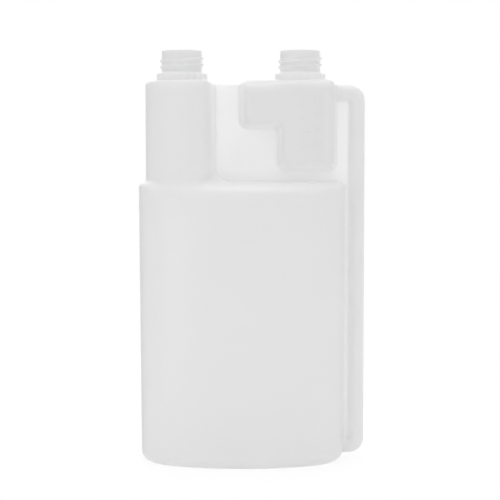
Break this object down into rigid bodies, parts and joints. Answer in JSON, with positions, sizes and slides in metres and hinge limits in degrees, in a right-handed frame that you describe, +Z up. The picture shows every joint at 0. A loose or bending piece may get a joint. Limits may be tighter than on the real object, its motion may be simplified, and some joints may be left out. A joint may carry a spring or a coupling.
{
  "type": "dual-chamber bottle",
  "caption": "Flat oval dosing bottle with a filler column, a measuring chamber, a transfer channel joining the chambers, and open threaded necks.",
  "frame": {"origin": "under the middle of the bottle's bounding box, on the plane it stands on", "axes": "+Z up, +X to the right of the front view, +Y to the back; the mould parts on the plane Y = 0"},
  "size_m": [0.1396, 0.0746, 0.2539],
  "materials": {
    "natural_polyethylene": "milky translucent satin"
  },
  "bodies": {
    "root": {"bottle": "natural_polyethylene"}
  },
  "joints": []
}
